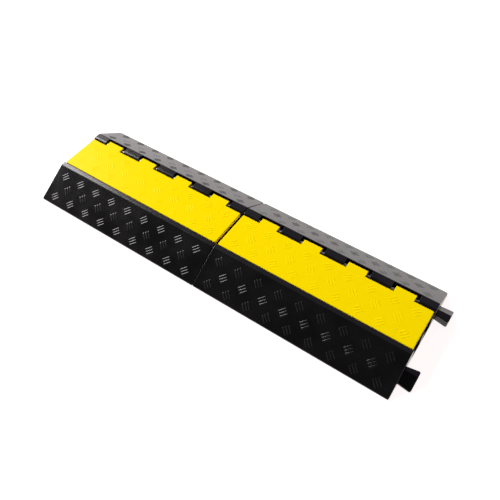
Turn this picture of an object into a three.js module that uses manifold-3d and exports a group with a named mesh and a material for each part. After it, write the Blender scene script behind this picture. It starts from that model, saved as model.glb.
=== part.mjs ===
// Cable protector ramp: two rubber modules joined end to end, each with a yellow lid over its cable channels.
// +X runs along the ramp, +Y is the hinge side of the lids and +Z is up, in millimetres.
import * as THREE from 'three';
import { mergeVertices } from 'three/addons/utils/BufferGeometryUtils.js';
import Module from 'manifold-3d';

const wasm = await Module();
wasm.setup();

// Module
const moduleLength = 500;
const moduleWidth = 305;
const moduleHeight = 55;
const seamGap = 0.6;
const toeHeight = 4;
const toeRadius = 2;
const frontPlanRadius = 3;
const backPlanRadius = 10;

// Crests of the two ramps, measured from the middle plane
const frontCrest = 64;
const backCrest = 79.5;
const frontCrestRadius = 6;

// Lid and the recess it lies in
const lidThickness = 9;
const lidFront = 51.5;
const lidEndInset = 4;
const lidEdgeRadius = 1.5;
const lidPlanRadius = 3;
const lidFrontGap = 0.8;
const seatGap = 0.3;

// Cable channels
const channelWidth = 40;
const dividerWidth = 10;
const channelFloor = 8;

// Hinge
const axisFromCrest = 16;
const axisBelowTop = 7;
const rodRadius = 3;
const runningGap = 0.3;
const lidBackFromAxis = 9;
const knuckleRadius = 7;
const tabCount = 4;
const tabPitch = 117.2;
const tabWidth = 48;
const tabSideGap = 8.5;
const tabBack = 8;
const tabDrop = 7;
const tabRadius = 5;
const slotLand = 1.5;
const swingGap = 0.7;
const blindWall = 5;
const plugRadius = 4.5;
const plugLength = 6;

// Joining lugs on the right end and their pockets in the left end. A lug is wider at its tip than at its root,
// so that it holds the modules together; its sides are measured from the middle plane.
const lugLength = 30;
const lugHeight = 20;
const lugNose = 2.5;
const lugPlanRadius = 3;
const lugRootInner = 73;
const lugTipInner = 68;
const lugRootOuter = 110;
const lugTipOuter = 113.5;
const pocketGap = 1;

// Tread: groups of three raised bars in three rows, the middle row half a pitch along
const barLength = 20;
const barWidth = 4;
const barHeight = 1.2;
const lidBarHeight = 0.5;
const barSpacing = 6.6;
const barTilt = Math.PI / 4;
const barRoot = 1;
const groupPitch = 54;
const outerRowGroups = 9;
const frontMiddleRow = 48.5;
const frontRowPitch = 29;
const backMiddleRow = 42;
const backRowPitch = 28;
const lidMiddleRow = 1.5;
const lidRowPitch = 31;

// Facets
const cornerSteps = 4;
const rodSides = 16;

// Places worked out from the sizes above
const overallLength = 2 * moduleLength + seamGap + lugLength;
const halfWidth = moduleWidth / 2;
const axisY = backCrest - axisFromCrest;
const axisZ = moduleHeight - axisBelowTop;
const lidUnderside = moduleHeight - lidThickness;
const seatZ = lidUnderside - seatGap;
const channelOuter = channelWidth + dividerWidth / 2;
const frontSlope = (moduleHeight - toeHeight) / (halfWidth - frontCrest);
const backSlope = (moduleHeight - toeHeight) / (halfWidth - backCrest);
const tabReach = Math.hypot(Math.max(tabBack, lidBackFromAxis), Math.max(axisBelowTop, tabDrop));
const boreRadius = (rodRadius + runningGap) / Math.cos(Math.PI / rodSides);
const above = 10;

// Rounds the corners of an outline given as [across, up, radius] and returns its points.
function rounded(corners) {
  const points = [];
  corners.forEach(([y, z, radius], i) => {
    const corner = new THREE.Vector2(y, z);
    if (!radius) {
      points.push(corner);
      return;
    }
    const before = corners[(i + corners.length - 1) % corners.length];
    const after = corners[(i + 1) % corners.length];
    const back = new THREE.Vector2(before[0], before[1]).sub(corner).normalize();
    const on = new THREE.Vector2(after[0], after[1]).sub(corner).normalize();
    const half = Math.acos(THREE.MathUtils.clamp(back.dot(on), -1, 1)) / 2;
    const bisector = back.clone().add(on).normalize();
    const centre = corner.clone().addScaledVector(bisector, radius / Math.sin(half));
    const start = corner.clone().addScaledVector(back, radius / Math.tan(half)).sub(centre);
    const end = corner.clone().addScaledVector(on, radius / Math.tan(half)).sub(centre);
    const turn = Math.atan2(start.cross(end), start.dot(end));
    for (let step = 0; step <= cornerSteps; step++) {
      const angle = (turn * step) / cornerSteps;
      points.push(start.clone().rotateAround(new THREE.Vector2(), angle).add(centre));
    }
  });
  return points;
}

// Turns a closed geometry into a solid.
function solid(geometry) {
  geometry.deleteAttribute('normal');
  geometry.deleteAttribute('uv');
  const merged = mergeVertices(geometry, 1e-4);
  return new wasm.Manifold(new wasm.Mesh({
    numProp: 3,
    vertProperties: new Float32Array(merged.attributes.position.array),
    triVerts: new Uint32Array(merged.index.array),
  }));
}

// An outline across the ramp, [y, z, radius], carried along X from one end to the other.
function alongX(corners, fromX, toX) {
  const shape = new THREE.Shape(rounded(corners));
  const geometry = new THREE.ExtrudeGeometry(shape, { depth: toX - fromX, bevelEnabled: false });
  const frame = new THREE.Matrix4().makeBasis(
    new THREE.Vector3(0, 1, 0),
    new THREE.Vector3(0, 0, 1),
    new THREE.Vector3(1, 0, 0),
  );
  geometry.applyMatrix4(frame);
  geometry.translate(fromX, 0, 0);
  return solid(geometry);
}

// A plan outline, [x, y, radius], carried up through the whole height.
function upright(corners) {
  const shape = new THREE.Shape(rounded(corners));
  const geometry = new THREE.ExtrudeGeometry(shape, { depth: moduleHeight + 2 * above, bevelEnabled: false });
  geometry.translate(0, 0, -above);
  return solid(geometry);
}

function block(fromX, toX, fromY, toY, fromZ, toZ) {
  const geometry = new THREE.BoxGeometry(toX - fromX, toY - fromY, toZ - fromZ);
  geometry.translate((fromX + toX) / 2, (fromY + toY) / 2, (fromZ + toZ) / 2);
  return solid(geometry);
}

// A round bar or bore on the hinge axis.
function onAxis(radius, fromX, toX) {
  const geometry = new THREE.CylinderGeometry(radius, radius, toX - fromX, rodSides);
  geometry.rotateZ(Math.PI / 2);
  geometry.translate((fromX + toX) / 2, axisY, axisZ);
  return solid(geometry);
}

// Middle of each hinge tab along a module.
const tabCentres = Array.from(
  { length: tabCount },
  (_, i) => moduleLength / 2 + (i - (tabCount - 1) / 2) * tabPitch,
);

// A joining lug on the side of the given sign, or its pocket when grown by a gap. It starts inside the rubber
// at rootX - above and is cut to its plan, which widens from rootX to its tip.
function lugSolid(side, slope, rootX, gap) {
  const top = lugHeight + gap;
  const inner = lugTipInner - gap;
  const outer = lugTipOuter + gap;
  const shoulder = lugTipOuter - (lugHeight - lugNose) / slope + gap / 2;
  const tipX = rootX + lugLength + gap;
  const section = [
    [side * inner, gap ? -above : 0, 0],
    [side * outer, gap ? -above : 0, 0],
    [side * outer, lugNose + gap, 0],
    [side * shoulder, top, 0],
    [side * inner, top, 0],
  ];
  const plan = [
    [rootX - above, side * (lugRootInner - gap), 0],
    [rootX, side * (lugRootInner - gap), 0],
    [tipX, side * inner, lugPlanRadius],
    [tipX, side * outer, lugPlanRadius],
    [rootX, side * (lugRootOuter + gap), 0],
    [rootX - above, side * (lugRootOuter + gap), 0],
  ];
  return alongX(section, rootX - above, tipX).intersect(upright(plan));
}

// One raised bar lying along X on the plane z = 0, narrower at its top than at its foot.
function barGeometry(height) {
  const geometry = new THREE.BoxGeometry(barLength, barWidth, height + barRoot);
  const position = geometry.attributes.position;
  for (let i = 0; i < position.count; i++) {
    if (position.getZ(i) < 0) continue;
    position.setX(i, Math.sign(position.getX(i)) * (barLength / 2 - height));
    position.setY(i, position.getY(i) / 2);
  }
  geometry.translate(0, 0, (height - barRoot) / 2);
  return geometry;
}

// Adds the tread bars to a face. The face passes through [y, z] = from and climbs along [y, z] = along,
// where y grows; rows are measured that way. outerTilt is +1 where the outer rows lean towards +X.
function withTread(body, from, along, middleRow, rowPitch, outerTilt, height) {
  const across = new THREE.Vector3(0, along[0], along[1]).normalize();
  const xAxis = new THREE.Vector3(1, 0, 0);
  const outward = xAxis.clone().cross(across);
  const face = new THREE.Matrix4().makeBasis(xAxis, across, outward).setPosition(0, from[0], from[1]);
  let made = body;
  for (const row of [-1, 0, 1]) {
    const groups = row ? outerRowGroups : outerRowGroups - 1;
    const tilt = (row ? outerTilt : -outerTilt) * barTilt;
    for (let group = 0; group < groups; group++) {
      const x = moduleLength / 2 + (group - (groups - 1) / 2) * groupPitch;
      for (const bar of [-1, 0, 1]) {
        const geometry = barGeometry(height);
        geometry.translate(0, bar * barSpacing, 0);
        geometry.rotateZ(tilt);
        geometry.translate(x, middleRow + row * rowPitch, 0);
        geometry.applyMatrix4(face);
        made = made.add(solid(geometry));
      }
    }
  }
  return made;
}

// One rubber base: ramps, channels, lid recess, hinge knuckles, lugs and pockets.
function baseSolid(outerTilt) {
  const section = [
    [-halfWidth, 0, 0],
    [halfWidth, 0, 0],
    [halfWidth, toeHeight, toeRadius],
    [backCrest, moduleHeight, 0],
    [-frontCrest, moduleHeight, frontCrestRadius],
    [-halfWidth, toeHeight, toeRadius],
  ];
  const plan = [
    [0, -halfWidth, frontPlanRadius],
    [moduleLength, -halfWidth, frontPlanRadius],
    [moduleLength, halfWidth, backPlanRadius],
    [0, halfWidth, backPlanRadius],
  ];
  let base = alongX(section, 0, moduleLength).intersect(upright(plan));

  const knuckleFront = axisY - knuckleRadius;
  const recess = [
    [-lidFront - lidFrontGap, seatZ, 0],
    [knuckleFront, seatZ, 0],
    [knuckleFront, axisZ, 0],
  ];
  for (let step = 1; step <= 2 * cornerSteps; step++) {
    const angle = (Math.PI / 2) * (step / (2 * cornerSteps));
    const y = axisY - knuckleRadius * Math.cos(angle);
    recess.push([y, axisZ + axisBelowTop * Math.sin(angle), 0]);
  }
  recess.push([axisY, moduleHeight + above, 0]);
  recess.push([-lidFront - lidFrontGap, moduleHeight + above, 0]);
  base = base.subtract(alongX(recess, -above, moduleLength + above));

  for (const side of [-1, 1]) {
    const near = side * (dividerWidth / 2);
    const far = side * channelOuter;
    const [fromY, toY] = side < 0 ? [far, near] : [near, far];
    const channel = block(-above, moduleLength + above, fromY, toY, channelFloor, moduleHeight);
    base = base.subtract(channel);
  }

  const slotHalf = tabWidth / 2 + tabSideGap;
  for (const middle of tabCentres) {
    const slot = block(
      middle - slotHalf,
      middle + slotHalf,
      axisY - tabReach - swingGap,
      backCrest - slotLand,
      axisZ - tabReach - swingGap,
      moduleHeight + above,
    );
    base = base.subtract(slot);
  }

  for (const [side, slope] of [[-1, frontSlope], [1, backSlope]]) {
    base = base.subtract(lugSolid(side, slope, -seamGap, pocketGap));
    base = base.add(lugSolid(side, slope, moduleLength, 0));
  }

  base = base.subtract(onAxis(boreRadius, blindWall, moduleLength + above));
  base = base.subtract(onAxis(plugRadius, moduleLength - plugLength, moduleLength + above));
  const frontToe = [-halfWidth, toeHeight];
  const backToe = [halfWidth, toeHeight];
  base = withTread(base, frontToe, [1, frontSlope], frontMiddleRow, frontRowPitch, outerTilt, barHeight);
  return withTread(base, backToe, [1, -backSlope], -backMiddleRow, backRowPitch, outerTilt, barHeight);
}

// One yellow lid: a plate with four tabs that turn on the rod.
function lidSolid() {
  const lidBack = axisY - lidBackFromAxis;
  const plate = [
    [-lidFront, lidUnderside, 0],
    [lidBack, lidUnderside, 0],
    [lidBack, moduleHeight, lidEdgeRadius],
    [-lidFront, moduleHeight, lidEdgeRadius],
  ];
  const plan = [
    [lidEndInset, -lidFront, lidPlanRadius],
    [moduleLength - lidEndInset, -lidFront, lidPlanRadius],
    [moduleLength - lidEndInset, lidBack, lidPlanRadius],
    [lidEndInset, lidBack, lidPlanRadius],
  ];
  let lid = alongX(plate, lidEndInset, moduleLength - lidEndInset).intersect(upright(plan));
  const root = lidBack - lidThickness / 2;
  const tab = [
    [root, lidUnderside, 0],
    [axisY - tabDrop, lidUnderside, 0],
    [axisY - tabDrop, axisZ - tabDrop, tabRadius - 2],
    [axisY + tabBack, axisZ - tabDrop, tabRadius],
    [axisY + tabBack, moduleHeight, lidEdgeRadius],
    [root, moduleHeight, 0],
  ];
  for (const middle of tabCentres) {
    lid = lid.add(alongX(tab, middle - tabWidth / 2, middle + tabWidth / 2));
  }
  lid = lid.subtract(onAxis(boreRadius, -above, moduleLength + above));
  return withTread(lid, [0, moduleHeight], [1, 0], lidMiddleRow, lidRowPitch, 1, lidBarHeight);
}

function rodSolid() {
  return onAxis(rodRadius, blindWall + runningGap, moduleLength - plugLength - runningGap);
}

function plugSolid() {
  const radius = plugRadius * Math.cos(Math.PI / rodSides) - runningGap;
  return onAxis(radius, moduleLength - plugLength, moduleLength - runningGap);
}

const finishes = {
  rubber: { color: 0x1b1b1c, roughness: 0.55, metalness: 0 },
  lidYellow: { color: 0xfbdc04, roughness: 0.4, metalness: 0 },
  steel: { color: 0xb9bcbe, roughness: 0.3, metalness: 1 },
  nylon: { color: 0x242426, roughness: 0.5, metalness: 0 },
};

const pieces = [
  { name: 'base', make: baseSolid, finish: finishes.rubber },
  { name: 'lid', make: lidSolid, finish: finishes.lidYellow },
  { name: 'hinge_rod', make: rodSolid, finish: finishes.steel },
  { name: 'rod_plug', make: plugSolid, finish: finishes.nylon },
];

function geometryOf(made) {
  const mesh = made.getMesh();
  const geometry = new THREE.BufferGeometry();
  geometry.setAttribute('position', new THREE.BufferAttribute(mesh.vertProperties, 3));
  geometry.setIndex(new THREE.BufferAttribute(mesh.triVerts, 1));
  geometry.computeVertexNormals();
  return geometry;
}

const ramp = new THREE.Group();
// The second base has its tread rows leaning the other way.
for (const [index, letter, outerTilt] of [[0, 'a', 1], [1, 'b', -1]]) {
  const module = new THREE.Group();
  module.position.x = index * (moduleLength + seamGap) - overallLength / 2;
  for (const piece of pieces) {
    const mesh = new THREE.Mesh(geometryOf(piece.make(outerTilt)), new THREE.MeshStandardMaterial(piece.finish));
    mesh.name = `${piece.name}_${letter}`;
    module.add(mesh);
  }
  ramp.add(module);
}

export default ramp;
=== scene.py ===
"""Cable protector ramp: two rubber modules joined end to end, each with a yellow lid over its cable channels.

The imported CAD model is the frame, and each operator adds one kind of piece to it. +X runs along the ramp,
+Y is the hinge side of the lids and +Z is up. Every length is in metres.
"""

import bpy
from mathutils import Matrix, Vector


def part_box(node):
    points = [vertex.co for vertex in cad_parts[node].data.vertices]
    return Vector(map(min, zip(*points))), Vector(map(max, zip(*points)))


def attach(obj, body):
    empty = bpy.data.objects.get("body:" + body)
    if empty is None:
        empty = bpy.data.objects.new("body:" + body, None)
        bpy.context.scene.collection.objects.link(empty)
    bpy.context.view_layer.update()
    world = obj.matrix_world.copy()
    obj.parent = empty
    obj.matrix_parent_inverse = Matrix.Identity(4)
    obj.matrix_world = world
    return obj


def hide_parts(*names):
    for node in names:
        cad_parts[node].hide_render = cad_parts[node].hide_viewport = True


bl_info = {
    "name": "Cable Protector Ramp",
    "version": (1, 0, 0),
    "blender": (4, 5, 0),
    "location": "3D View > Sidebar > Cable Ramp",
    "description": "Builds a two-module rubber cable ramp with hinged yellow lids on a studio floor",
    "category": "Object",
}

import math

import bmesh
import bpy
import numpy as np
from bpy.props import FloatProperty, FloatVectorProperty, IntProperty, PointerProperty
from mathutils import Matrix, Vector

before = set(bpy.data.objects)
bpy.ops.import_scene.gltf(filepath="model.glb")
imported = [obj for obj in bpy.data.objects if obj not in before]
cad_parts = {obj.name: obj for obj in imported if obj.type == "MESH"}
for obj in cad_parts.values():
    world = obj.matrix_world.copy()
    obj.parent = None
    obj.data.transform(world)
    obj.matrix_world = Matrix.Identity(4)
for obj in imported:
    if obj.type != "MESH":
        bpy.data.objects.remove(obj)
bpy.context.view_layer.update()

MODULES = ("a", "b")
# The left end of each module, and the hinge axis that the two modules share.
LEFT_END = {letter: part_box(f"base_{letter}")[0].x for letter in MODULES}
AXIS_Y = sum(corner.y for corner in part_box("hinge_rod_a")) / 2
AXIS_Z = sum(corner.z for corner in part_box("hinge_rod_a")) / 2
# Points on a quarter of a moulded edge, and round a turned part.
ARC_STEPS = 4
TURNED_SIDES = 40
# Vertices stand on a grid of 0.1 micrometres. Anything closer than the weld distance is one point.
GRID_DECIMALS = 7
WELD = 1e-6
# A vector shorter than this has no direction, and places along an outline are told apart to 4 decimals of it.
NO_LENGTH = 1e-12
FRACTION_DECIMALS = 4
# A section starts and ends on its underside, this far in from the toes.
LEAD = 0.01
# Cutters run on past what they cut, and their axis is a thin core.
OVERRUN = 0.01
CORE = 0.0001
# Rings of a plan corner start where they are clear of the rounded edge, in end radii.
CLEAR_OF_EDGE = 1.1
# A toe is all that stands this near the outer edge, and its foot is this high.
TOE_DEPTH = 0.003
FOOT = 0.001
# A pocket's cutter reaches below the underside and out past the end face.
POCKET_BELOW = 0.005
POCKET_BEYOND = 0.006
# The rings of a lug's root, from the end face inwards, in end radii.
LUG_ROOT = np.array([0, 1, 3])
# Share of a hinge part's outline over which its rounded side runs out.
KNUCKLE_FADE = 0.06
TAB_FADE = 0.1
# Heights of a bar's rings as shares of its height, its plan corner as a share of its half width, the least
# share of that corner that is left, and the angles of the points round it.
BAR_LEVELS = np.array([0, 0.3, 0.58, 0.8, 0.94, 0.995])
BAR_CORNER = 0.6
BAR_CORNER_LEAST = 0.1
BAR_ANGLES = np.radians([0, 45, 90, 90, 135, 180, 180, 225, 270, 270, 315, 360])
# Edges sharper than this stay sharp, and flat faces outweigh the small ones beside them.
SHARP_ANGLE = math.radians(32)
FACE_WEIGHT = 100


def linear(hex_colour):
    """The linear colour of an sRGB hex value."""
    channels = [int(hex_colour[i : i + 2], 16) / 255 for i in (1, 3, 5)]
    return tuple(c / 12.92 if c <= 0.04045 else ((c + 0.055) / 1.055) ** 2.4 for c in channels)


def length(name, description, default):
    """A length that the user can change."""
    return FloatProperty(
        name=name, description=description, default=default, min=0.0, unit="LENGTH", precision=4
    )


def amount(name, description, default):
    """A plain number that the user can change."""
    return FloatProperty(name=name, description=description, default=default, min=0.0)


def colour(name, description, hex_colour):
    """A colour that the user can change, given as sRGB hex."""
    return FloatVectorProperty(
        name=name, description=description, default=linear(hex_colour), subtype="COLOR", min=0.0, max=1.0
    )


class BaseSizes(bpy.types.PropertyGroup):
    """The rubber base of one module, across the ramp and along it."""

    module_length: length("Module length", "From one end face of a module to the other", 0.5)
    width: length("Width", "Across the ramp, from toe to toe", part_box("base_a")[1].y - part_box("base_a")[0].y)
    height: length("Height", "From the floor to the crests", 0.055)
    toe_height: length("Toe height", "Upright face at the foot of each ramp", 0.004)
    toe_radius: length("Toe radius", "Rounding where a toe meets its ramp", 0.0022)
    front_plan_radius: length("Front plan radius", "Rounding of the two front corners seen from above", 0.003)
    back_plan_radius: length("Back plan radius", "Rounding of the two back corners seen from above", 0.008)
    front_crest: length("Front crest", "Top of the front ramp, from the middle plane", 0.064)
    front_crest_radius: length("Front crest radius", "Rounding over the front crest", 0.006)
    back_crest: length("Back crest", "Top of the back ramp, from the middle plane", 0.0795)
    back_crest_radius: length("Back crest radius", "Rounding over the back crest", 0.002)
    recess_front: length("Recess front", "Front wall of the lid recess, from the middle plane", 0.0523)
    seat: length("Seat", "Height of the ledges that the lid lies on", 0.0457)
    channel_width: length("Channel width", "Width of each of the two cable channels", 0.04)
    divider_width: length("Divider width", "Wall between the two channels", 0.01)
    channel_floor: length("Channel floor", "Rubber under the channels", 0.008)
    channel_fillet: length("Channel fillet", "Rounding at the foot of the channel walls", 0.003)
    edge_radius: length("Edge radius", "Rounding of the moulded edges along the ramp", 0.0018)
    end_radius: length("End radius", "Rounding round the end faces, the knuckles and the lug tips", 0.0012)
    draft: length("Draft", "How far each end face leans in at the crests, to leave its mould", 0.001)


class LugSizes(bpy.types.PropertyGroup):
    """The two joining lugs on a module's right end, wider at the tip, and their pockets in its left end."""

    reach: length("Reach", "How far a lug stands out of the end face", 0.03)
    height: length("Height", "Top of a lug above the floor", 0.02)
    nose: length("Nose", "Upright outer face of a lug", 0.0025)
    plan_radius: length("Plan radius", "Rounding of the two tip corners seen from above", 0.0045)
    edge_radius: length("Edge radius", "Rounding of a lug's long edges", 0.0022)
    root_inner: length("Root inner", "Inner side at the root, from the middle plane", 0.073)
    tip_inner: length("Tip inner", "Inner side at the tip, from the middle plane", 0.068)
    root_outer: length("Root outer", "Outer side at the root, from the middle plane", 0.11)
    tip_outer: length("Tip outer", "Outer side at the tip, from the middle plane", 0.1135)
    pocket_gap: length("Pocket gap", "Room round a lug in its pocket", 0.001)
    seam_gap: length("Seam gap", "Between the end faces of two joined modules", 0.0006)


class HingeSizes(bpy.types.PropertyGroup):
    """The hinge: knuckles on the base, tabs on the lid, and the rod through both."""

    knuckle_radius: length("Knuckle radius", "Rounded front edge of a knuckle, about the axis", 0.007)
    slot_front: length("Slot front", "Front wall of a slot, from the middle plane", 0.0514)
    slot_back: length("Slot back", "Back wall of a slot, from the middle plane", 0.078)
    slot_floor: length("Slot floor", "Floor of a slot above the ground", 0.0359)
    slot_edge: length("Slot edge", "Rounding round the top of a slot", 0.0006)
    tab_count: IntProperty(name="Tabs", description="Hinge tabs on each lid", default=4, min=1)
    tab_pitch: length("Tab pitch", "From one tab to the next", 0.1172)
    tab_width: length("Tab width", "Width of a tab along the ramp", 0.048)
    tab_side_gap: length("Tab side gap", "Room on each side of a tab in its slot", 0.0085)
    tab_front: length("Tab front", "Front of a tab's hook, ahead of the axis", 0.007)
    tab_back: length("Tab back", "Back of a tab, behind the axis", 0.008)
    tab_drop: length("Tab drop", "Underside of a tab below the axis", 0.007)
    tab_radius: length("Tab radius", "Rounding under the back of a tab", 0.005)
    hook_radius: length("Hook radius", "Rounding under the front of a tab", 0.003)
    hook_root: length("Hook root", "Rounding where a tab's hook meets the plate", 0.0006)
    rod_radius: length("Rod radius", "Radius of the steel rod", 0.003)
    running_gap: length("Running gap", "Room round the rod in its bores", 0.0003)
    blind_wall: length("Blind wall", "Rubber left at the closed end of the bore", 0.005)
    plug_radius: length("Plug radius", "Radius of the counterbore at the open end", 0.0045)
    plug_length: length("Plug length", "Depth of the counterbore", 0.006)


class LidSizes(bpy.types.PropertyGroup):
    """One lid plate."""

    front: length("Front", "Front edge, from the middle plane", 0.0515)
    back: length("Back", "Back edge between the tabs, from the middle plane", 0.0545)
    thickness: length("Thickness", "Thickness of the plate", 0.009)
    end_inset: length("End inset", "From the module's end face to the lid's end", 0.004)
    edge_radius: length("Edge radius", "Rounding of the top edges", 0.0015)
    end_radius: length("End radius", "Rounding round the two end faces", 0.0011)
    tab_edge: length("Tab edge", "Rounding of the side edges of the tabs", 0.0008)
    under_radius: length("Underside radius", "Rounding of the bottom edges", 0.0013)
    plan_radius: length("Plan radius", "Rounding of the four corners seen from above", 0.003)


class TreadSizes(bpy.types.PropertyGroup):
    """The raised bars: groups of three at 45 degrees, in three rows on each face."""

    bar_length: length("Bar length", "Length of a bar at its foot", 0.02)
    bar_width: length("Bar width", "Width of a bar at its foot", 0.004)
    bar_height: length("Bar height", "How far a bar stands up", 0.0006)
    lid_bar_height: length("Lid bar height", "How far a bar stands up on a lid", 0.00026)
    end_taper: amount("End taper", "Run of a bar's ends as a multiple of its sides' run", 2.2)
    bar_root: length("Bar root", "How deep a bar is set into its face", 0.0008)
    bar_spacing: length("Bar spacing", "From one bar of a group to the next", 0.0066)
    bar_tilt: FloatProperty(
        name="Bar tilt", description="Angle of a bar to the ramp", default=math.pi / 4, subtype="ANGLE"
    )
    group_pitch: length("Group pitch", "From one group of a row to the next", 0.054)
    outer_groups: IntProperty(name="Outer groups", description="Groups in each outer row", default=9, min=1)
    front_row: length("Front row", "Middle row of the front ramp, up the slope from the toe", 0.0485)
    front_pitch: length("Front row pitch", "From row to row on the front ramp", 0.029)
    back_row: length("Back row", "Middle row of the back ramp, up the slope from the toe", 0.042)
    back_pitch: length("Back row pitch", "From row to row on the back ramp", 0.028)
    lid_row: length("Lid row", "Middle row of the lid, behind the middle plane", 0.0015)
    lid_pitch: length("Lid row pitch", "From row to row on the lid", 0.031)


class Colours(bpy.types.PropertyGroup):
    """Colours of the materials."""

    rubber: colour("Rubber", "Moulded rubber of the bases", "#0a0a0b")
    rubber_bloom: colour("Rubber bloom", "Paler film on the rubber", "#151517")
    rubbed: colour("Rubbed rubber", "Tread bars, rubbed clean", "#111113")
    yellow: colour("Yellow", "Moulded lids", "#fadb00")
    yellow_scuff: colour("Yellow scuff", "Faint marks on the lids", "#efcf08")
    zinc: colour("Zinc", "Plated hinge rods", "#c3c6c9")
    nylon: colour("Nylon", "Rod plugs", "#1c1c1e")
    floor: colour("Floor", "Studio floor", "#b4b1b1")


class StageSettings(bpy.types.PropertyGroup):
    """Camera, floor and lights."""

    camera_place: FloatVectorProperty(
        name="Camera place", description="Where it stands", default=(0.5349, -0.6619, 1.1014), unit="LENGTH"
    )
    camera_turn: FloatVectorProperty(
        name="Camera turn",
        description="How the camera is turned",
        default=(math.radians(37.12), math.radians(1.56), math.radians(34.49)),
        subtype="EULER",
    )
    lens: amount("Lens", "Focal length in millimetres", 40.91)
    floor_size: length("Floor size", "Side of the square floor", 12.0)
    sky_low: amount("Low sky", "Light from near the horizon", 1.15)
    sky_high: amount("High sky", "Light from overhead", 0.05)
    floor_glow: amount("Floor glow", "Light from under the floor", 0.95)
    left_power: amount("Left window", "Power in watts", 1320.0)
    back_power: amount("Back panel", "Power in watts", 10.0)


class RampSettings(bpy.types.PropertyGroup):
    """Everything that can be changed."""

    base: PointerProperty(type=BaseSizes, name="Base", description="Sizes of the rubber base")
    lugs: PointerProperty(type=LugSizes, name="Lugs", description="Sizes of the joining lugs")
    hinge: PointerProperty(type=HingeSizes, name="Hinge", description="Sizes of the hinge")
    lid: PointerProperty(type=LidSizes, name="Lid", description="Sizes of the lid")
    tread: PointerProperty(type=TreadSizes, name="Tread", description="Sizes of the tread bars")
    colours: PointerProperty(type=Colours, name="Colours", description="Colours of the materials")
    stage: PointerProperty(type=StageSettings, name="Stage", description="Camera, floor and lights")


# ---------------------------------------------------------------- shapes


def unit(vectors):
    """Vectors scaled to length 1; one without length stays zero."""
    norm = np.linalg.norm(vectors, axis=-1, keepdims=True)
    return vectors / np.where(norm > NO_LENGTH, norm, 1.0)


def rounded(corners):
    """An outline of [y, z, radius] corners as points, with each corner turned into an arc.

    The arc's centre stands on the bisector at radius / sin(half the angle), so the arc touches both sides.
    """
    corners = np.array(corners, float)
    point, radius = corners[:, :2], corners[:, 2]
    back = unit(np.roll(point, 1, 0) - point)
    on = unit(np.roll(point, -1, 0) - point)
    half = np.arccos(np.clip((back * on).sum(1), -1, 1)) / 2
    centre = point + unit(back + on) * (radius / np.sin(half))[:, None]
    start = point + back * (radius / np.tan(half))[:, None] - centre
    end = point + on * (radius / np.tan(half))[:, None] - centre
    turn = np.arctan2(start[:, 0] * end[:, 1] - start[:, 1] * end[:, 0], (start * end).sum(1))
    angle = turn[:, None] * np.linspace(0, 1, ARC_STEPS + 1)
    across = centre[:, :1] + start[:, :1] * np.cos(angle) - start[:, 1:] * np.sin(angle)
    up = centre[:, 1:] + start[:, :1] * np.sin(angle) + start[:, 1:] * np.cos(angle)
    points = np.stack([across.ravel(), up.ravel()], 1)
    step = np.linalg.norm(np.diff(points, axis=0, prepend=points[:1] + 1), axis=1)
    return points[step > 10**-GRID_DECIMALS]


def matched(*paths):
    """The same paths, each with a point at every fraction of its length where any of them has one."""
    fractions = []
    for path in paths:
        run = np.append(0, np.cumsum(np.linalg.norm(np.diff(path, axis=0), axis=1)))
        fractions.append(run / run[-1])
    shared = np.unique(np.round(np.concatenate(fractions), FRACTION_DECIMALS))
    return [
        np.stack([np.interp(shared, fraction, path[:, 0]), np.interp(shared, fraction, path[:, 1])], 1)
        for fraction, path in zip(fractions, paths)
    ]


def drawn_in(sections, depth):
    """Closed sections (rings, points, 2) that turn clockwise, with each point moved inwards by its depth.

    A point moves along the mitre of its two sides: the sum of their normals over one plus their dot product.
    """
    before = unit(sections - np.roll(sections, 1, 1))
    after = unit(np.roll(sections, -1, 1) - sections)
    normal_before = np.stack([-before[..., 1], before[..., 0]], -1)
    normal_after = np.stack([-after[..., 1], after[..., 0]], -1)
    facing = (normal_before * normal_after).sum(-1, keepdims=True)
    return sections - (normal_before + normal_after) / (1 + facing) * depth[..., None]


def shortened(sections, shift, edge, slope=0.0):
    """Sections whose points near the plane y = edge move towards the middle by a shift for each ring.

    Points above the foot rise by slope times the shift, so a sloping face stays flat.
    """
    near = np.abs(sections[..., 0] - edge) < TOE_DEPTH
    raised = near & (sections[..., 1] > FOOT)
    moved = sections.copy()
    moved[..., 0] -= np.sign(edge) * shift[:, None] * near
    moved[..., 1] += slope * shift[:, None] * raised
    return moved


def corner_arc(radius, steps):
    """Quarter of a rounded edge as (distance from the face, depth of the edge), from the face inwards.

    Both follow a circle: distance is radius (1 - cos t) and depth is radius (1 - sin t).
    """
    t = np.linspace(0, math.pi / 2, steps + 1)
    return radius * (1 - np.cos(t)), radius * (1 - np.sin(t))


def plan_inset(distance, radius):
    """How far a side wall stands in at a distance from the end face, where the plan corner is an arc."""
    into = np.clip(radius - distance, 0, radius)
    return radius - np.sqrt(radius**2 - into**2)


def skin(along, sections):
    """Vertices and faces of a closed surface: section i stands in the plane x = along[i].

    Neighbouring sections are joined by quads, and the first and last are closed flat. Sections turn
    clockwise as [y, z], so that the faces look outwards.
    """
    rings, points = sections.shape[:2]
    x = np.broadcast_to(np.asarray(along)[:, None, None], (rings, points, 1))
    vertices = np.concatenate([x, sections], 2).reshape(-1, 3)
    here = np.arange((rings - 1) * points).reshape(rings - 1, points)
    beside = np.roll(here, -1, 1)
    quads = np.stack([here, here + points, beside + points, beside], -1).reshape(-1, 4)
    first = np.arange(points)
    last = (rings - 1) * points + first[::-1]
    return vertices, quads.tolist() + [first.tolist(), last.tolist()]


def turned(profile):
    """Vertices and faces of a part turned on the hinge axis, from [x, radius] points along it."""
    profile = np.array(profile, float)
    angle = -np.linspace(0, 2 * math.pi, TURNED_SIDES, endpoint=False)
    circle = np.stack([np.cos(angle), np.sin(angle)], 1)
    sections = np.array([AXIS_Y, AXIS_Z]) + profile[:, 1, None, None] * circle
    return skin(profile[:, 0], sections)


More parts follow.
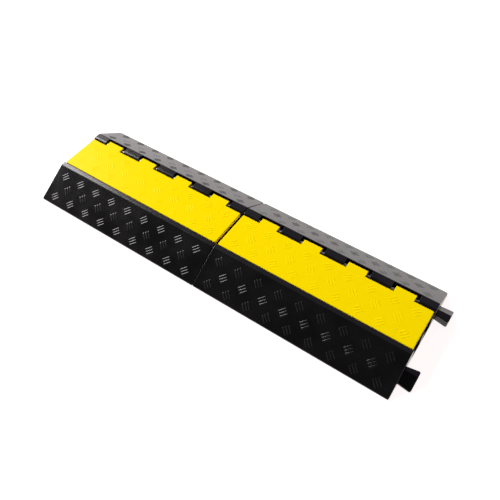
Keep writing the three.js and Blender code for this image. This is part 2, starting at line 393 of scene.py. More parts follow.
def make_mesh(name, vertices, faces):
    """A mesh object at the origin, its points on the grid so that flush faces stay flush."""
    mesh = bpy.data.meshes.new(name)
    mesh.from_pydata((np.round(vertices, GRID_DECIMALS) + 0.0).tolist(), [], faces)
    mesh.validate()
    piece = bpy.data.objects.new(name, mesh)
    bpy.context.scene.collection.objects.link(piece)
    return piece


def combine(piece, vertices, faces, operation):
    """Joins a second closed surface to a piece, or cuts it out, and dissolves faces left without area."""
    tool = make_mesh("tool", vertices, faces)
    boolean = piece.modifiers.new(operation.title(), "BOOLEAN")
    boolean.operation = operation
    boolean.solver = "MANIFOLD"
    boolean.object = tool
    graph = bpy.context.evaluated_depsgraph_get()
    result = bpy.data.meshes.new_from_object(piece.evaluated_get(graph))
    cleaned = bmesh.new()
    cleaned.from_mesh(result)
    bmesh.ops.dissolve_degenerate(cleaned, dist=WELD, edges=cleaned.edges[:])
    cleaned.to_mesh(result)
    cleaned.free()
    piece.modifiers.clear()
    old = piece.data
    piece.data = result
    result.name = piece.name
    bpy.data.meshes.remove(old)
    bpy.data.meshes.remove(tool.data)


def finish_piece(piece, material, body, replaced=(), domed=False):
    """Shades a piece, gives it its material, and ties it to its CAD body.

    Normals of flat faces are kept flat beside rounded edges, except on a piece that is domed all over.
    """
    mesh = piece.data
    mesh.materials.clear()
    mesh.materials.append(material)
    mesh.polygons.foreach_set("material_index", np.zeros(len(mesh.polygons), np.int32))
    mesh.shade_smooth()
    mesh.set_sharp_from_angle(angle=SHARP_ANGLE)
    if not domed:
        flats = piece.modifiers.new("Flat faces", "WEIGHTED_NORMAL")
        flats.keep_sharp = True
        flats.weight = FACE_WEIGHT
    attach(piece, body)
    if replaced:
        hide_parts(*replaced)


def to_module(piece, letter):
    """Moves a mesh made from x = 0 to the left end of its module."""
    piece.data.transform(Matrix.Translation((LEFT_END[letter], 0, 0)))


def turned_parts(stem, profile, material, node):
    """The same turned part in both modules."""
    for letter in MODULES:
        piece = make_mesh(f"{stem}_{letter}", *turned(profile))
        to_module(piece, letter)
        finish_piece(piece, material, f"module_{letter}", [f"{node}_{letter}"])


def spread(count, pitch):
    """Places of a number of things at one pitch, about 0."""
    return (np.arange(count) - (count - 1) / 2) * pitch


def tab_middles(base, hinge):
    """Middle of each hinge tab and its slot, from the module's left end."""
    return base.module_length / 2 + spread(hinge.tab_count, hinge.tab_pitch)


# ---------------------------------------------------------------- base


def lug_rows(lugs, side, slope, x, grown):
    """Corners of a lug's section at each x from its root, or of its pocket's when grown.

    Each side runs straight from its place at the root to its place at the tip, and round the tip corner. The
    outer face leans in with the ramp above a low nose, so where the lug is narrower the nose is higher.
    """
    part = np.clip(x / lugs.reach, 0, 1)
    corner = plan_inset(lugs.reach + grown - x, lugs.plan_radius)
    inner = lugs.root_inner + (lugs.tip_inner - lugs.root_inner) * part - grown + corner
    outer = lugs.root_outer + (lugs.tip_outer - lugs.root_outer) * part + grown - corner
    top = lugs.height + grown
    shoulder = lugs.tip_outer - (lugs.height - lugs.nose) / slope + grown / 2
    lean = (lugs.height - lugs.nose) / (lugs.tip_outer + grown / 2 - shoulder)
    nose = lugs.nose + grown + (lugs.tip_outer + grown - outer) * lean
    none = np.zeros_like(outer)
    edge = none + lugs.edge_radius
    # A pocket reaches through the underside.
    foot = none - (POCKET_BELOW if grown else 0)
    corners = [
        [side * outer, foot, none],
        [side * outer, nose, edge],
        [side * shoulder + none, top + none, edge],
        [side * inner, top + none, edge],
        [side * inner, foot, none],
    ]
    return np.moveaxis(np.array(corners), -1, 0)


def ramp_slopes(base):
    """Rise over run of the front and the back ramp."""
    climb = base.height - base.toe_height
    return climb / (base.width / 2 - base.front_crest), climb / (base.width / 2 - base.back_crest)


def base_sections(base, hinge):
    """The knuckle section and the slot section of a base, with matching points, as (2, points, 2).

    The second result is a mask of the points where they differ, between the seat and the back crest.
    """
    half = base.width / 2
    edge = base.edge_radius
    near = base.divider_width / 2
    far = near + base.channel_width
    front = [
        [-half, 0, edge],
        [-half, base.toe_height, base.toe_radius],
        [-base.front_crest, base.height, base.front_crest_radius],
        [-base.recess_front, base.height, edge],
        [-base.recess_front, base.seat, edge],
    ]
    for start, end in ((-far, -near), (near, far)):
        front.append([start, base.seat, edge])
        front.append([start, base.channel_floor, base.channel_fillet])
        front.append([end, base.channel_floor, base.channel_fillet])
        front.append([end, base.seat, edge])
    seat_end = [hinge.slot_front - hinge.slot_edge, base.seat, 0]
    land_start = [hinge.slot_back + hinge.slot_edge, base.height, 0]
    slot = [
        seat_end,
        [hinge.slot_front, base.seat, hinge.slot_edge],
        [hinge.slot_front, hinge.slot_floor, edge],
        [hinge.slot_back, hinge.slot_floor, edge],
        [hinge.slot_back, base.height, hinge.slot_edge],
        land_start,
    ]
    knuckle_front = AXIS_Y - hinge.knuckle_radius
    knuckle = [
        seat_end,
        [knuckle_front, base.seat, 0],
        [knuckle_front, base.height, hinge.knuckle_radius],
        land_start,
    ]
    back = [
        [base.back_crest, base.height, base.back_crest_radius],
        [half, base.toe_height, base.toe_radius],
        [half, 0, edge],
    ]
    slot, knuckle = matched(rounded(slot), rounded(knuckle))
    lead_in, lead_out = [-half + LEAD, 0, 0], [half - LEAD, 0, 0]
    before = rounded([lead_in, *front, seat_end])[1:-1]
    after = rounded([land_start, *back, lead_out])[1:-1]
    sections = np.array([np.concatenate([before, part, after]) for part in (knuckle, slot)])
    hinge_part = np.zeros(sections.shape[1])
    hinge_part[len(before) : len(before) + len(knuckle)] = 1
    return sections, hinge_part


def edge_rings(end_radius, *plan_radii):
    """Distance from an end face, and depth of its rounded edge, of the rings that shape an end.

    The rings stand on the edge's own arc and, further in, on the arcs of the corners seen from above.
    """
    distance, depth = corner_arc(end_radius, ARC_STEPS)
    plan = np.unique(np.concatenate([corner_arc(radius, 2 * ARC_STEPS)[0] for radius in plan_radii]))
    plan = plan[plan > CLEAR_OF_EDGE * end_radius]
    return np.concatenate([distance, plan]), np.concatenate([depth, np.zeros(len(plan))])


def faded(part, share):
    """Weight of the points of one part of a section: 1, but falling to 0 over a share at each of its ends."""
    run = (np.cumsum(part) - 0.5) / part.sum()
    return part * np.clip(np.minimum(run, 1 - run) / share, 0, 1)


def base_surface(base, hinge):
    """x and sections of a base without its lugs, pockets and bore.

    The section changes in a plane at each slot wall, where both sections stand at the same x and the quads
    between them are the wall. Near the end faces and the knuckle sides the sections are drawn in along an
    arc, and the toes follow the corners seen from above.
    """
    kinds, hinge_part = base_sections(base, hinge)
    distance, depth = edge_rings(base.end_radius, base.front_plan_radius, base.back_plan_radius)
    side_distance, side_depth = corner_arc(base.end_radius, ARC_STEPS)
    knuckle, slot = 0, 1
    # Each row is: x, kind of section, depth all round, depth at a knuckle's side.
    rows = [[d, knuckle, e, 0] for d, e in zip(distance, depth)]
    half_slot = hinge.tab_width / 2 + hinge.tab_side_gap
    for middle in tab_middles(base, hinge):
        left, right = middle - half_slot, middle + half_slot
        rows += [[left - d, knuckle, 0, e] for d, e in zip(side_distance[::-1], side_depth[::-1])]
        rows += [[left, slot, 0, 0], [right, slot, 0, 0]]
        rows += [[right + d, knuckle, 0, e] for d, e in zip(side_distance, side_depth)]
    rows += [[base.module_length - d, knuckle, e, 0] for d, e in zip(distance[::-1], depth[::-1])]
    x, kind, all_round, at_side = np.array(rows).T
    sections = kinds[kind.astype(int)]
    to_end = np.minimum(x, base.module_length - x)
    front_slope, back_slope = ramp_slopes(base)
    half = base.width / 2
    sections = shortened(sections, plan_inset(to_end, base.front_plan_radius), -half, front_slope)
    sections = shortened(sections, plan_inset(to_end, base.back_plan_radius), half, back_slope)
    return x, drawn_in(sections, all_round[:, None] + at_side[:, None] * faded(hinge_part, KNUCKLE_FADE))


def lug_surface(base, lugs, side, grown=0.0):
    """x and sections of one lug, measured from its root, or of its pocket when grown.

    The lug's root is drawn in and set into the end face, so that none of its faces lies flush with the
    base's. Its tip is rounded like the end faces.
    """
    distance, depth = edge_rings(base.end_radius, lugs.plan_radius)
    tip = lugs.reach + grown
    if grown:
        distance = np.append(distance, [tip, tip + POCKET_BEYOND])
        depth = np.append(depth, [0, 0])
    else:
        root = base.end_radius * LUG_ROOT
        distance = np.append(distance, tip + root)
        depth = np.append(depth, np.minimum(root, base.end_radius))
    x = tip - distance[::-1]
    slope = ramp_slopes(base)[0 if side < 0 else 1]
    rows = lug_rows(lugs, side, slope, x, grown)
    sections = np.array([rounded(corners if side < 0 else corners[::-1]) for corners in rows])
    return x, drawn_in(sections, np.repeat(depth[::-1, None], sections.shape[1], 1))


# ---------------------------------------------------------------- lid


def lid_surface(base, hinge, lid):
    """x and sections of a lid: a plate section along X that changes to the tab section at each tab."""
    top = base.height
    under = top - lid.thickness
    join_low = [lid.back - lid.under_radius, under, 0]
    join_high = [lid.back - lid.edge_radius, top, 0]
    plate = [join_high, [lid.back, top, lid.edge_radius], [lid.back, under, lid.under_radius], join_low]
    hook = AXIS_Y - hinge.tab_front
    tab_back = AXIS_Y + hinge.tab_back
    tab_under = AXIS_Z - hinge.tab_drop
    tab = [
        join_high,
        [tab_back, top, lid.edge_radius],
        [tab_back, tab_under, hinge.tab_radius],
        [hook, tab_under, hinge.hook_radius],
        [hook, under, hinge.hook_root],
        join_low,
    ]
    plate, tab = matched(rounded(plate), rounded(tab))
    front = rounded(
        [join_low, [-lid.front, under, lid.under_radius], [-lid.front, top, lid.edge_radius], join_high]
    )[1:-1]
    kinds = np.array([np.concatenate([front, path]) for path in (plate, tab)])
    back_part = np.concatenate([np.zeros(len(front)), np.ones(len(plate))])

    distance, depth = edge_rings(lid.end_radius, lid.plan_radius)
    side_distance, side_depth = corner_arc(lid.tab_edge, ARC_STEPS)
    plate, tab = 0, 1
    left_end, right_end = lid.end_inset, base.module_length - lid.end_inset
    rows = [[left_end + d, plate, e, 0] for d, e in zip(distance, depth)]
    for middle in tab_middles(base, hinge):
        left, right = middle - hinge.tab_width / 2, middle + hinge.tab_width / 2
        rows += [[left, plate, 0, 0]]
        rows += [[left + d, tab, 0, e] for d, e in zip(side_distance, side_depth)]
        rows += [[right - d, tab, 0, e] for d, e in zip(side_distance[::-1], side_depth[::-1])]
        rows += [[right, plate, 0, 0]]
    rows += [[right_end - d, plate, e, 0] for d, e in zip(distance[::-1], depth[::-1])]
    x, kind, at_end, at_tab = np.array(rows).T
    sections = kinds[kind.astype(int)]
    shift = plan_inset(np.minimum(x - left_end, right_end - x), lid.plan_radius)
    sections = shortened(sections, shift, -lid.front)
    sections = shortened(sections, shift * (kind == plate), lid.back)
    return x, drawn_in(sections, at_end[:, None] + at_tab[:, None] * faded(back_part, TAB_FADE))


# ---------------------------------------------------------------- tread


def bar_template(tread, height):
    """Vertices and faces of one bar along X on z = 0: a rounded outline raised in rings to a domed top.

    The bar's cross-section is a circular arc through both feet and the top. At level z its half width is
    sqrt(R^2 - (z + R - height)^2). The sides are drawn in to that, and the ends by end_taper times as much.
    """
    x, y = tread.bar_length / 2, tread.bar_width / 2
    dome = (y**2 + height**2) / (2 * height)
    rise = BAR_LEVELS * height
    inset = y - np.sqrt(dome**2 - (rise + dome - height) ** 2)
    level = np.append(-tread.bar_root, rise)
    inset = np.append(0.0, inset)
    corner = y * BAR_CORNER
    side_x = np.repeat([1, -1, -1, 1], 3)
    side_y = np.repeat([1, 1, -1, -1], 3)
    left = np.clip(corner - inset, corner * BAR_CORNER_LEAST, None)[:, None]
    ring_x = side_x * (x - tread.end_taper * inset[:, None] - left) + np.cos(BAR_ANGLES) * left
    ring_y = side_y * (y - inset[:, None] - left) + np.sin(BAR_ANGLES) * left
    ring_z = np.broadcast_to(level[:, None], ring_x.shape)
    vertices = np.stack([ring_x, ring_y, ring_z], -1).reshape(-1, 3)
    points = len(BAR_ANGLES)
    here = np.arange((len(level) - 1) * points).reshape(-1, points)
    beside = np.roll(here, -1, 1)
    quads = np.stack([here, beside, beside + points, here + points], -1).reshape(-1, 4)
    return vertices, quads, np.arange(points)[::-1], np.arange(points) + (len(level) - 1) * points


def bar_rows(tread, module_length, middle_row, row_pitch, outer_tilt):
    """Place and tilt of every bar on a face, as [along X, across the face, tilt] rows.

    Outer rows lean by outer_tilt and the middle row, half a pitch along, leans the other way.
    """
    placed = []
    for row in (-1, 0, 1):
        groups = tread.outer_groups if row else tread.outer_groups - 1
        tilt = (outer_tilt if row else -outer_tilt) * tread.bar_tilt
        group = spread(groups, tread.group_pitch)
        beside = np.array([-1, 0, 1]) * tread.bar_spacing
        x = module_length / 2 + group[:, None] - math.sin(tilt) * beside
        v = middle_row + row * row_pitch + math.cos(tilt) * beside + 0 * group[:, None]
        placed.append(np.stack([x.ravel(), v.ravel(), np.full(x.size, tilt)], 1))
    return np.concatenate(placed)


def bars_on_face(tread, height, rows, from_point, along):
    """Vertices of every bar: the template turned by its tilt and set on the face through from_point.

    The face's own axes are X, the direction across it, and their cross product, which looks outwards.
    """
    template = bar_template(tread, height)[0]
    across = unit(np.array([0.0, *along]))
    outward = np.cross([1.0, 0.0, 0.0], across)
    x, v, tilt = rows.T[:, :, None]
    u = x + np.cos(tilt) * template[:, 0] - np.sin(tilt) * template[:, 1]
    w = v + np.sin(tilt) * template[:, 0] + np.cos(tilt) * template[:, 1]
    origin = np.array([0.0, *from_point])
    placed = origin + u[..., None] * [1.0, 0.0, 0.0] + w[..., None] * across
    return (placed + template[:, 2, None] * outward).reshape(-1, 3)


def bars_piece(tread, name, left_end, vertices):
    """One object from all the bars of a face or faces."""
    template, quads, floor, top = bar_template(tread, tread.bar_height)
    count = len(vertices) // len(template)
    start = np.arange(count)[:, None, None] * len(template)
    faces = (quads + start).reshape(-1, 4).tolist()
    faces += (floor + start[:, 0]).tolist() + (top + start[:, 0]).tolist()
    return make_mesh(name, vertices + [left_end, 0, 0], faces)


# ---------------------------------------------------------------- materials

# Sockets of a colour Mix node.
MIX_FACTOR, MIX_A, MIX_B, MIX_RESULT = 0, 6, 7, 2
# How rubber shines, the same all over: the weak, faintly warm gloss of a filled compound.
RUBBER_SHEEN = {"IOR": 1.52, "Specular IOR Level": 0.42, "Specular Tint": (1.0, 0.93, 0.92, 1.0)}
# How much rougher a scuff makes the yellow.
SCUFF_ROUGHNESS = 0.2


def add(tree, kind, inputs=None, **settings):
    """Adds a node, with its settings, and sets each input to a value or links it to a socket."""
    node = tree.nodes.new(kind)
    for name, value in settings.items():
        setattr(node, name, value)
    for name, value in (inputs or {}).items():
        if isinstance(value, bpy.types.NodeSocket):
            tree.links.new(value, node.inputs[name])
        else:
            node.inputs[name].default_value = value
    return node


def empty_material(name):
    """A material without nodes, and its node tree."""
    material = bpy.data.materials.new(name)
    material.use_nodes = True
    material.node_tree.nodes.clear()
    return material, material.node_tree


def end_material(tree, look, noise, height, *, smooth, rough, strength, depth, scuffs=None):
    """Ends a material with its uneven roughness, its relief and its shader.

    Roughness goes from smooth to rough with the noise, and more where there are scuffs. The relief follows a
    height, with a strength and a depth in metres.
    """
    gloss = {"Value": noise, "From Min": 0.3, "From Max": 0.7, "To Min": smooth, "To Max": rough}
    roughness = add(tree, "ShaderNodeMapRange", gloss).outputs["Result"]
    if scuffs:
        parts = {0: scuffs, 1: SCUFF_ROUGHNESS, 2: roughness}
        roughness = add(tree, "ShaderNodeMath", parts, operation="MULTIPLY_ADD").outputs[0]
    relief = add(tree, "ShaderNodeBump", {"Height": height, "Strength": strength, "Distance": depth})
    inputs = {**look, "Roughness": roughness, "Normal": relief.outputs["Normal"]}
    shader = add(tree, "ShaderNodeBsdfPrincipled", inputs)
    add(tree, "ShaderNodeOutputMaterial", {"Surface": shader.outputs["BSDF"]})


def rubber_material(colours):
    """Compression-moulded rubber with recycled filler: near black with a soft sheen.

    The tool's blast texture breaks up the sheen, crumbs of filler show as fine pits, and a faint paler bloom
    lies on it in patches.
    """
    material, tree = empty_material("Moulded rubber")
    place = add(tree, "ShaderNodeTexCoord").outputs["Object"]
    # Bloom lies in patches about 60 mm across.
    noise = {"Vector": place, "Scale": 1 / 0.06, "Detail": 5.0}
    patches = add(tree, "ShaderNodeTexNoise", noise).outputs["Fac"]
    bloom = add(
        tree, "ShaderNodeMapRange", {"Value": patches, "From Min": 0.42, "From Max": 0.75, "To Max": 0.6}
    )
    # Filler crumbs are about 0.5 mm, drawn at 2 mm so that they show.
    crumbs = add(tree, "ShaderNodeTexVoronoi", {"Vector": place, "Scale": 1 / 0.002})
    grain = add(tree, "ShaderNodeTexNoise", {"Vector": place, "Scale": 1 / 0.0016, "Detail": 3.0})
    body = add(
        tree,
        "ShaderNodeMix",
        {MIX_FACTOR: bloom.outputs["Result"], MIX_A: (*colours.rubber, 1), MIX_B: (*colours.rubber_bloom, 1)},
        data_type="RGBA",
    )
    height = add(
        tree, "ShaderNodeMath", {0: crumbs.outputs["Distance"], 1: grain.outputs["Fac"]}, operation="ADD"
    )
    look = {"Base Color": body.outputs[MIX_RESULT], **RUBBER_SHEEN}
    end_material(tree, look, patches, height.outputs[0], smooth=0.18, rough=0.25, strength=0.22, depth=0.0002)
    return material


def rubbed_rubber_material(colours):
    """The same rubber where shoes and tyres rub it: its texture is worn nearly flat, so its edges shine."""
    material, tree = empty_material("Rubbed rubber")
    place = add(tree, "ShaderNodeTexCoord").outputs["Object"]
    noise = {"Vector": place, "Scale": 1 / 0.009, "Detail": 4.0}
    rubbed = add(tree, "ShaderNodeTexNoise", noise).outputs["Fac"]
    body = add(
        tree,
        "ShaderNodeMix",
        {MIX_FACTOR: rubbed, MIX_A: (*colours.rubber, 1), MIX_B: (*colours.rubbed, 1)},
        data_type="RGBA",
    )
    grain = add(tree, "ShaderNodeTexNoise", {"Vector": place, "Scale": 1 / 0.0015, "Detail": 2.0})
    look = {"Base Color": body.outputs[MIX_RESULT], **RUBBER_SHEEN}
    height = grain.outputs["Fac"]
    end_material(tree, look, rubbed, height, smooth=0.23, rough=0.3, strength=0.05, depth=0.0001)
    return material


def yellow_material(colours):
    """Injection-moulded polyethylene, coloured through: a satin, slightly waxy surface.

    The tool leaves a fine spark-eroded texture, and the melt a faint change of gloss along the lid. Handling
    leaves sparse dull scuffs.
    """
    material, tree = empty_material("Moulded yellow polyethylene")
    place = add(tree, "ShaderNodeTexCoord").outputs["Object"]
    # The flow of the melt shows in streaks about 50 mm wide and 140 mm long.
    flow_place = add(tree, "ShaderNodeMapping", {"Vector": place, "Scale": (0.35, 1.0, 1.0)})
    noise = {"Vector": flow_place.outputs["Vector"], "Scale": 1 / 0.05, "Detail": 3.0}
    flow = add(tree, "ShaderNodeTexNoise", noise).outputs["Fac"]
    # Scuffs are thin marks about 30 mm long.
    scuff_place = add(
        tree, "ShaderNodeMapping", {"Vector": place, "Rotation": (0.0, 0.0, 0.6), "Scale": (1.0, 7.0, 1.0)}
    )
    noise = {"Vector": scuff_place.outputs["Vector"], "Scale": 1 / 0.03, "Detail": 6.0}
    scuff = add(tree, "ShaderNodeTexNoise", noise)
    marks = add(
        tree,
        "ShaderNodeMapRange",
        {"Value": scuff.outputs["Fac"], "From Min": 0.62, "From Max": 0.74, "To Max": 0.5},
    ).outputs["Result"]
    body = add(
        tree,
        "ShaderNodeMix",
        {MIX_FACTOR: marks, MIX_A: (*colours.yellow, 1), MIX_B: (*colours.yellow_scuff, 1)},
        data_type="RGBA",
    )
    # Spark-eroded pits are about 0.1 mm, drawn at 1.2 mm so that they show.
    pits = add(tree, "ShaderNodeTexNoise", {"Vector": place, "Scale": 1 / 0.0012, "Detail": 2.0})
    look = {
        "Base Color": body.outputs[MIX_RESULT],
        "IOR": 1.5,
        "Specular IOR Level": 0.05,
        "Specular Tint": (1.0, 0.85, 0.25, 1.0),
    }
    height = pits.outputs["Fac"]
    end_material(tree, look, flow, height, smooth=0.22, rough=0.28, strength=0.05, depth=0.0001, scuffs=marks)
    return material


def zinc_material(colours):
    """Drawn steel rod, bright zinc plated: metal with fine draw lines and a slightly uneven gloss."""
    material, tree = empty_material("Zinc-plated steel")
    place = add(tree, "ShaderNodeTexCoord").outputs["Object"]
    # Draw lines are about 0.4 mm apart and run along X.
    line_place = add(tree, "ShaderNodeMapping", {"Vector": place, "Scale": (0.02, 1.0, 1.0)})
    noise = {"Vector": line_place.outputs["Vector"], "Scale": 1 / 0.0004, "Detail": 2.0}
    lines = add(tree, "ShaderNodeTexNoise", noise)
    cloud = add(tree, "ShaderNodeTexNoise", {"Vector": place, "Scale": 1 / 0.008, "Detail": 3.0})
    look = {"Base Color": (*colours.zinc, 1), "Metallic": 1.0}
    cloud, height = cloud.outputs["Fac"], lines.outputs["Fac"]
    end_material(tree, look, cloud, height, smooth=0.2, rough=0.36, strength=0.2, depth=0.00005)
    return material


def nylon_material(colours):
    """Injection-moulded black nylon: a smooth, slightly cloudy satin."""
    material, tree = empty_material("Moulded black nylon")
    place = add(tree, "ShaderNodeTexCoord").outputs["Object"]
    noise = {"Vector": place, "Scale": 1 / 0.002, "Detail": 3.0}
    cloud = add(tree, "ShaderNodeTexNoise", noise).outputs["Fac"]
    look = {"Base Color": (*colours.nylon, 1), "IOR": 1.53}
    end_material(tree, look, cloud, cloud, smooth=0.32, rough=0.45, strength=0.1, depth=0.0001)
    return material


def floor_material(colours, glow):
    """Matt pale grey acrylic studio floor, lit strongly from below as a light table is.

    The glow makes it show white, and leaves only faint shadows.
    """
    material, tree = empty_material("Studio floor")
    shader = add(
        tree,
        "ShaderNodeBsdfPrincipled",
        {
            "Base Color": (*colours.floor, 1),
            "Roughness": 0.9,
            "Specular IOR Level": 0.1,
            "Emission Color": (1.0, 0.94, 0.94, 1.0),
            "Emission Strength": glow,
        },
    )
    add(tree, "ShaderNodeOutputMaterial", {"Surface": shader.outputs["BSDF"]})
    return material


# ---------------------------------------------------------------- stage


# The bright low sky ends at the first height of a direction's Z, and the dim high sky starts at the second.
SKY_LOW_TO, SKY_HIGH_FROM = 0.17, 0.42
# Where each lamp stands and the side of its square. Both face the middle of the ramp.
LEFT_PLACE, LEFT_SIZE = (-7.1, 0.85, 4.1), 5.5
BACK_PLACE, BACK_SIZE = (-0.95, 1.4, 2.3), 3.5
# The floor lies this far under the rubber, so that the two never share a plane.
FLOOR_DROP = 0.0003
SENSOR_WIDTH_MM = 36.0
CLIP_START, CLIP_END = 0.02, 50.0


def area_light(name, place, size, power, tint="#ffffff"):
    """A soft square light that stands at a place and faces the middle of the ramp."""
    light = bpy.data.lights.new(name, "AREA")
    light.shape = "SQUARE"
    light.size = size
    light.energy = power
    light.color = linear(tint)
    lamp = bpy.data.objects.new(name, light)
    bpy.context.scene.collection.objects.link(lamp)
    lamp.visible_camera = False
    lamp.location = place
    lamp.rotation_euler = (-Vector(place)).to_track_quat("-Z", "Y").to_euler()


def studio_sky(low, high):
    """A plain sky, bright all round near the horizon and dim overhead, like a room with a dark ceiling."""
    world = bpy.data.worlds.new("Studio")
    bpy.context.scene.world = world
    world.use_nodes = True
    tree = world.node_tree
    tree.nodes.clear()
    direction = add(tree, "ShaderNodeTexCoord").outputs["Generated"]
    up = add(tree, "ShaderNodeSeparateXYZ", {"Vector": direction}).outputs["Z"]
    strength = add(
        tree,
        "ShaderNodeMapRange",
        {"Value": up, "From Min": SKY_LOW_TO, "From Max": SKY_HIGH_FROM, "To Min": low, "To Max": high},
        interpolation_type="SMOOTHSTEP",
    )
    background = add(
        tree, "ShaderNodeBackground", {"Color": (1.0, 1.0, 1.0, 1.0), "Strength": strength.outputs["Result"]}
    )
    add(tree, "ShaderNodeOutputWorld", {"Surface": background.outputs["Background"]})


# ---------------------------------------------------------------- operators


class MakeBases(bpy.types.Operator):
    """Moulds the rubber base of each module, with its lugs, pockets and rod bore"""

    bl_idname = "cable_ramp.bases"
    bl_label = "Rubber bases"

    def execute(self, context):
        ramp = context.scene.cable_ramp
        base, lugs, hinge = ramp.base, ramp.lugs, ramp.hinge
        material = rubber_material(ramp.colours)
        bore = hinge.rod_radius + hinge.running_gap
        beyond = base.module_length + OVERRUN
        plug_start = base.module_length - hinge.plug_length
        cutter = [[hinge.blind_wall, CORE], [hinge.blind_wall, bore], [plug_start, bore]]
        cutter += [[plug_start, hinge.plug_radius], [beyond, hinge.plug_radius], [beyond, CORE]]
        for letter in MODULES:
            vertices, faces = skin(*base_surface(base, hinge))
            # The draft grows with the height, and along the ramp from nothing in the middle.
            lean = 1 - 2 * vertices[:, 0] / base.module_length
            vertices[:, 0] += base.draft * lean * vertices[:, 2] / base.height
            piece = make_mesh(f"base_rubber_{letter}", vertices, faces)
            for side in (-1, 1):
                x, sections = lug_surface(base, lugs, side, lugs.pocket_gap)
                combine(piece, *skin(x - lugs.seam_gap, sections), "DIFFERENCE")
                x, sections = lug_surface(base, lugs, side)
                combine(piece, *skin(x + base.module_length, sections), "UNION")
            combine(piece, *turned(cutter), "DIFFERENCE")
            to_module(piece, letter)
            finish_piece(piece, material, f"module_{letter}", [f"base_{letter}"])
        return {"FINISHED"}


class MakeLids(bpy.types.Operator):
    """Moulds the yellow lid of each module, with its hinge tabs bored for the rod"""

    bl_idname = "cable_ramp.lids"
    bl_label = "Yellow lids"

    def execute(self, context):
        ramp = context.scene.cable_ramp
        material = yellow_material(ramp.colours)
        bore = ramp.hinge.rod_radius + ramp.hinge.running_gap
        length_along = ramp.base.module_length
        start, end = -OVERRUN, length_along + OVERRUN
        cutter = [[start, CORE], [start, bore], [end, bore], [end, CORE]]
        rows = bar_rows(ramp.tread, length_along, ramp.tread.lid_row, ramp.tread.lid_pitch, 1)
        bars = bars_on_face(ramp.tread, ramp.tread.lid_bar_height, rows, (0.0, ramp.base.height), (1.0, 0.0))
        for letter in MODULES:
            piece = make_mesh(f"lid_plate_{letter}", *skin(*lid_surface(ramp.base, ramp.hinge, ramp.lid)))
            combine(piece, *turned(cutter), "DIFFERENCE")
            to_module(piece, letter)
            finish_piece(piece, material, f"lid_{letter}", [f"lid_{letter}"])
            tread = bars_piece(ramp.tread, f"lid_tread_{letter}", LEFT_END[letter], bars)
            finish_piece(tread, material, f"lid_{letter}")
        return {"FINISHED"}


class MakeTreads(bpy.types.Operator):
    """Sets the raised bars on both ramps of each module"""

    bl_idname = "cable_ramp.treads"
    bl_label = "Tread bars"

    def execute(self, context):
        ramp = context.scene.cable_ramp
        base, tread = ramp.base, ramp.tread
        half = base.width / 2
        front_slope, back_slope = ramp_slopes(base)
        front_toe, back_toe = (-half, base.toe_height), (half, base.toe_height)
        material = rubbed_rubber_material(ramp.colours)
        # The second base has its rows leaning the other way.
        for letter, outer_tilt in zip(MODULES, (1, -1)):
            front = bar_rows(tread, base.module_length, tread.front_row, tread.front_pitch, outer_tilt)
            back = bar_rows(tread, base.module_length, -tread.back_row, tread.back_pitch, outer_tilt)
            vertices = np.concatenate(
                [
                    bars_on_face(tread, tread.bar_height, front, front_toe, (1.0, front_slope)),
                    bars_on_face(tread, tread.bar_height, back, back_toe, (1.0, -back_slope)),
                ]
            )
            piece = bars_piece(tread, f"ramp_tread_{letter}", LEFT_END[letter], vertices)
            finish_piece(piece, material, f"module_{letter}", domed=True)
        return {"FINISHED"}


class MakeRods(bpy.types.Operator):
    """Turns the steel hinge rods, with chamfered ends"""

    bl_idname = "cable_ramp.rods"
    bl_label = "Hinge rods"

    def execute(self, context):
        ramp = context.scene.cable_ramp
        hinge = ramp.hinge
        chamfer = 0.0006
        start = hinge.blind_wall + hinge.running_gap
        end = ramp.base.module_length - hinge.plug_length - hinge.running_gap
        profile = [[start, hinge.rod_radius - chamfer], [start + chamfer, hinge.rod_radius]]
        profile += [[end - chamfer, hinge.rod_radius], [end, hinge.rod_radius - chamfer]]
        turned_parts("hinge_rod_steel", profile, zinc_material(ramp.colours), "hinge_rod")
        return {"FINISHED"}


class MakePlugs(bpy.types.Operator):
    """Turns the nylon plugs that keep the rods in"""

    bl_idname = "cable_ramp.plugs"
    bl_label = "Rod plugs"

    def execute(self, context):
        ramp = context.scene.cable_ramp
        hinge = ramp.hinge
        radius = hinge.plug_radius - hinge.running_gap
        start = ramp.base.module_length - hinge.plug_length
        end = ramp.base.module_length - hinge.running_gap
        rim, chamfer, dimple = 0.0012, 0.0004, 0.001
        profile = [[start, radius - chamfer], [start + chamfer, radius], [end - chamfer, radius]]
        profile += [[end, radius - chamfer], [end, radius - rim], [end - dimple, radius - rim - dimple]]
        turned_parts("rod_plug_nylon", profile, nylon_material(ramp.colours), "rod_plug")
        return {"FINISHED"}


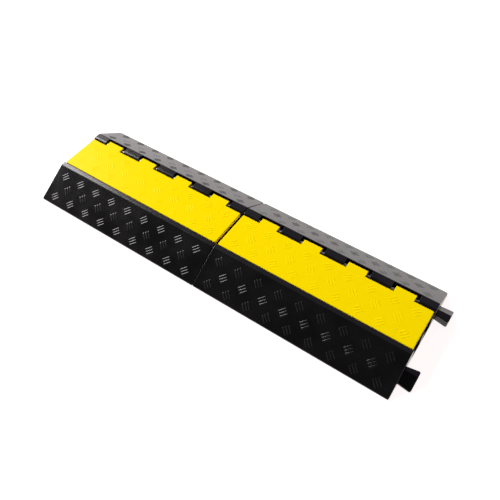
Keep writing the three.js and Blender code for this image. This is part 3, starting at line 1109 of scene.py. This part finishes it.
class MakeStage(bpy.types.Operator):
    """Lays the studio floor and sets up the sky, the lights and the camera"""

    bl_idname = "cable_ramp.stage"
    bl_label = "Studio stage"

    def execute(self, context):
        scene = context.scene
        stage = scene.cable_ramp.stage
        half = stage.floor_size / 2
        corners = np.array([[-half, -half, 0], [half, -half, 0], [half, half, 0], [-half, half, 0]])
        floor = make_mesh("floor", corners - [0, 0, FLOOR_DROP], [[0, 1, 2, 3]])
        floor.data.materials.append(floor_material(scene.cable_ramp.colours, stage.floor_glow))
        studio_sky(stage.sky_low, stage.sky_high)
        area_light("Left window", LEFT_PLACE, LEFT_SIZE, stage.left_power)
        area_light("Back panel", BACK_PLACE, BACK_SIZE, stage.back_power, "#e6dfff")
        camera_data = bpy.data.cameras.new("Camera")
        camera_data.sensor_width = SENSOR_WIDTH_MM
        camera_data.lens = stage.lens
        camera_data.clip_start = CLIP_START
        camera_data.clip_end = CLIP_END
        camera = bpy.data.objects.new("Camera", camera_data)
        scene.collection.objects.link(camera)
        camera.location = stage.camera_place
        camera.rotation_euler = stage.camera_turn
        scene.camera = camera
        scene.view_settings.view_transform = "Standard"
        return {"FINISHED"}


class RampPanel(bpy.types.Panel):
    """Sizes, colours and build steps of the cable ramp"""

    bl_idname = "CABLE_RAMP_PT_panel"
    bl_label = "Cable Ramp"
    bl_space_type = "VIEW_3D"
    bl_region_type = "UI"
    bl_category = "Cable Ramp"

    def draw(self, context):
        layout = self.layout
        for step in STEPS:
            layout.operator(step.bl_idname)
        ramp = context.scene.cable_ramp
        for group in ("base", "lugs", "hinge", "lid", "tread", "colours", "stage"):
            box = layout.box()
            box.label(text=group.title())
            settings = getattr(ramp, group)
            for name in settings.__annotations__:
                box.prop(settings, name)


GROUPS = (BaseSizes, LugSizes, HingeSizes, LidSizes, TreadSizes, Colours, StageSettings, RampSettings)
STEPS = (MakeStage, MakeBases, MakeTreads, MakeLids, MakeRods, MakePlugs)


def register():
    for made in (*GROUPS, *STEPS, RampPanel):
        bpy.utils.register_class(made)
    bpy.types.Scene.cable_ramp = PointerProperty(type=RampSettings)


def unregister():
    del bpy.types.Scene.cable_ramp
    for made in reversed((*GROUPS, *STEPS, RampPanel)):
        bpy.utils.unregister_class(made)


def main():
    """Builds every piece and the stage."""
    register()
    bpy.ops.cable_ramp.stage()
    bpy.ops.cable_ramp.bases()
    bpy.ops.cable_ramp.treads()
    bpy.ops.cable_ramp.lids()
    bpy.ops.cable_ramp.rods()
    bpy.ops.cable_ramp.plugs()


if __name__ == "__main__":
    main()
